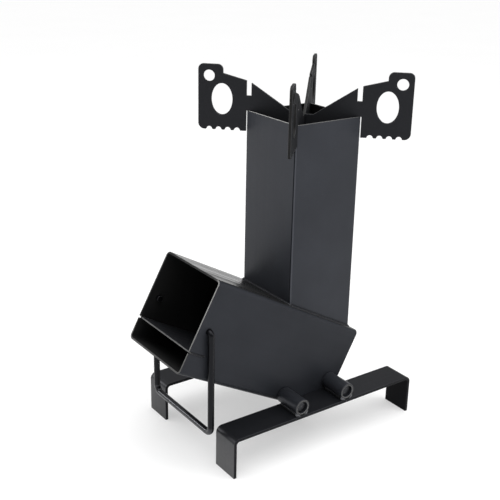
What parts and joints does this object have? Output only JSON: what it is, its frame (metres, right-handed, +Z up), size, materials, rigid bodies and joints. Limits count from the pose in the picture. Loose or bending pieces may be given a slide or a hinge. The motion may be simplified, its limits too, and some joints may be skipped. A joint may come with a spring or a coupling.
{
  "type": "rocket stove",
  "caption": "Welded rocket stove: tilted square feed tube, square chimney, push-on leg bars, bail handle, fuel shelf and crossed pot supports.",
  "frame": {"origin": "on the ground, in the middle of the footprint", "axes": "+Z up along the chimney, -X towards the fuel mouth, +Y to the stove's left"},
  "size_m": [0.342, 0.202, 0.467],
  "materials": {
    "black_paint": "semi-matt black high-temperature paint on steel",
    "painted_weld": "painted weld bead",
    "handle_paint": "satin black paint on round rod",
    "shelf_paint": "black paint, sooty",
    "support_paint": "semi-matt black high-temperature paint on laser-cut plate"
  },
  "bodies": {
    "stove_body": {"feed_tube": "black_paint", "rear_plate": "black_paint", "rear_plate_weld": "painted_weld", "chimney": "black_paint", "chimney_weld": "painted_weld", "left_front_pin": "black_paint", "left_rear_pin": "black_paint", "right_front_pin": "black_paint", "right_rear_pin": "black_paint", "pin_welds": "painted_weld"},
    "handle": {"bail_handle": "handle_paint"},
    "shelf": {"fuel_shelf": "shelf_paint"},
    "support_lower": {"pot_support_lower": "support_paint"},
    "support_upper": {"pot_support_upper": "support_paint"},
    "left_leg": {"left_leg_bar": "black_paint", "left_front_socket": "black_paint", "left_rear_socket": "black_paint", "left_socket_welds": "painted_weld"},
    "right_leg": {"right_leg_bar": "black_paint", "right_front_socket": "black_paint", "right_rear_socket": "black_paint", "right_socket_welds": "painted_weld"}
  },
  "joints": [
    {"name": "handle_swing", "type": "hinge", "parent": "stove_body", "child": "handle", "pos_m": [-0.1295, 0, 0.183], "axis": [0, 1, 0], "range_deg": [-1.5, 240]},
    {"name": "shelf_slide", "type": "slide", "parent": "stove_body", "child": "shelf", "axis": [-0.8763, 0, 0.4818], "range_m": [0, 0.16]},
    {"name": "support_lower_lift", "type": "slide", "parent": "stove_body", "child": "support_lower", "axis": [0, 0, 1], "range_m": [0, 0.06]},
    {"name": "support_upper_lift", "type": "slide", "parent": "support_lower", "child": "support_upper", "axis": [0, 0, 1], "range_m": [0, 0.05]},
    {"name": "left_leg_slide", "type": "slide", "parent": "stove_body", "child": "left_leg", "axis": [0, 1, 0], "range_m": [0, 0.04]},
    {"name": "right_leg_slide", "type": "slide", "parent": "stove_body", "child": "right_leg", "axis": [0, -1, 0], "range_m": [0, 0.04]}
  ]
}
